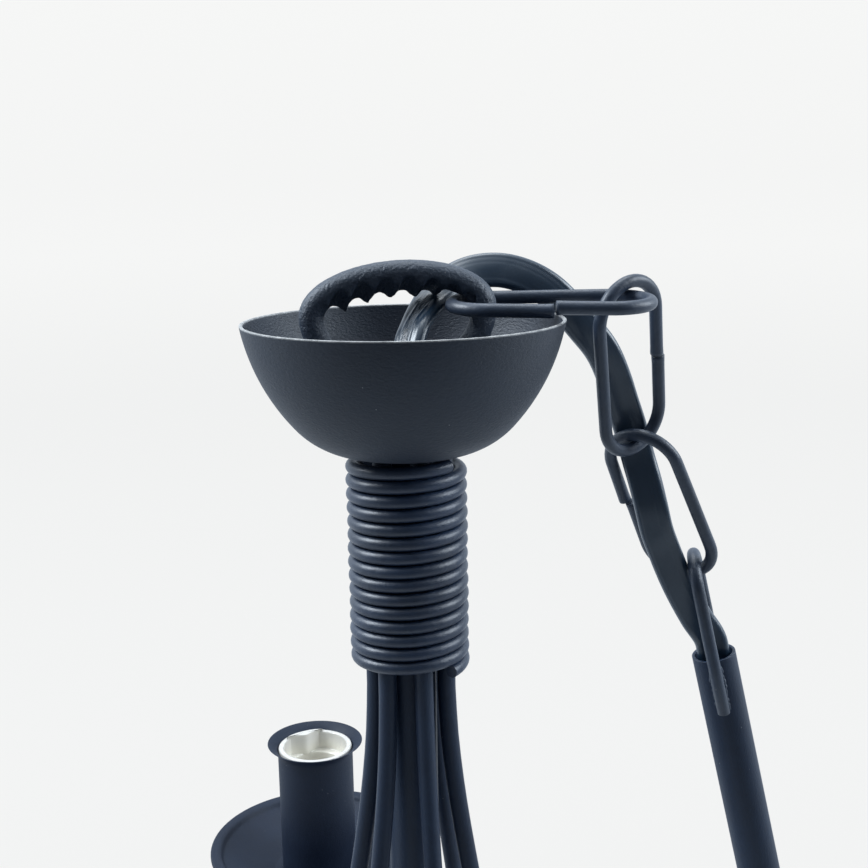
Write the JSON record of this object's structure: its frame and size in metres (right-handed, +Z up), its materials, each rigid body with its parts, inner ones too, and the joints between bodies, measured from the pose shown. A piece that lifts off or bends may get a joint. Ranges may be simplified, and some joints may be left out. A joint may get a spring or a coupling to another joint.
{
  "type": "candle chandelier",
  "caption": "Open-bowl chandelier: arms bound by a wound wire, drip pans, candle sleeves and porcelain holders, a toothed hanging loop, chain, down rod and canopy with a flat cord.",
  "frame": {"origin": "on the table under the stem's axis", "axes": "+Z up, +X towards the chain's side, -Y towards the picture's camera"},
  "size_m": [0.7914, 0.8154, 0.4897],
  "materials": {
    "black_coat": "fine leathery powder coat, satin",
    "black_wire": "smoother satin coat on wire",
    "porcelain": "glazed ceramic",
    "bright_steel": "plated",
    "black_cord": "satin PVC jacket"
  },
  "bodies": {
    "chandelier": {"hanging_loop": "black_coat", "top_bowl": "black_coat", "wrap_wire": "black_wire", "centre_stem": "black_coat", "stem_finial": "black_coat", "junction_block": "porcelain", "arm_1": "black_coat", "drip_pan_1": "black_coat", "candle_sleeve_1": "black_coat", "lamp_holder_1": "porcelain", "screw_shell_1": "bright_steel", "centre_contact_1": "bright_steel", "arm_2": "black_coat", "drip_pan_2": "black_coat", "candle_sleeve_2": "black_coat", "lamp_holder_2": "porcelain", "screw_shell_2": "bright_steel", "centre_contact_2": "bright_steel", "arm_3": "black_coat", "drip_pan_3": "black_coat", "candle_sleeve_3": "black_coat", "lamp_holder_3": "porcelain", "screw_shell_3": "bright_steel", "centre_contact_3": "bright_steel", "arm_4": "black_coat", "drip_pan_4": "black_coat", "candle_sleeve_4": "black_coat", "lamp_holder_4": "porcelain", "screw_shell_4": "bright_steel", "centre_contact_4": "bright_steel", "arm_5": "black_coat", "drip_pan_5": "black_coat", "candle_sleeve_5": "black_coat", "lamp_holder_5": "porcelain", "screw_shell_5": "bright_steel", "centre_contact_5": "bright_steel", "arm_6": "black_coat", "drip_pan_6": "black_coat", "candle_sleeve_6": "black_coat", "lamp_holder_6": "porcelain", "screw_shell_6": "bright_steel", "centre_contact_6": "bright_steel", "cord_from_bowl": "black_cord"},
    "link_1": {"chain_link_1": "black_wire", "cord_over_link_1": "black_cord"},
    "link_2": {"chain_link_2": "black_wire", "cord_by_link_2": "black_cord"},
    "link_3": {"chain_link_3": "black_wire"},
    "rod": {"down_rod": "black_coat", "rod_bail_upper": "black_wire", "rod_bail_lower": "black_wire", "cord_in_rod": "black_cord"},
    "canopy": {"ceiling_canopy": "black_coat", "canopy_eye": "black_wire", "canopy_nut": "bright_steel", "mounting_strap": "bright_steel", "canopy_screw_1": "black_coat", "canopy_screw_2": "black_coat", "cord_to_canopy": "black_cord"}
  },
  "joints": [
    {"name": "link_1_lift", "type": "hinge", "parent": "chandelier", "child": "link_1", "pos_m": [0.0226, -0.0037, 0.47677], "axis": [0, 1, 0], "range_deg": [-35, 0], "deforming": ["cord_from_bowl"]},
    {"name": "link_2_swing", "type": "hinge", "parent": "link_1", "child": "link_2", "pos_m": [0.06325, 0.00559, 0.47733], "axis": [0.5929, -0.7789, -0.2045], "range_deg": [-14, 14], "deforming": ["cord_over_link_1"]},
    {"name": "link_3_swing", "type": "hinge", "parent": "link_2", "child": "link_3", "pos_m": [0.06958, 0.02279, 0.43019], "axis": [-0.4985, -0.7445, -0.4441], "range_deg": [-10, 10], "deforming": ["cord_by_link_2"]},
    {"name": "rod_swing", "type": "hinge", "parent": "link_3", "child": "rod", "pos_m": [0.09114, 0.03279, 0.38617], "axis": [0, 1, 0], "range_deg": [-15, 3], "deforming": ["cord_in_rod"]},
    {"name": "canopy_swing", "type": "hinge", "parent": "rod", "child": "canopy", "pos_m": [0.17185, 0.0422, 0.0333], "axis": [0, 1, 0], "range_deg": [-20, 20], "deforming": ["cord_to_canopy"]}
  ]
}
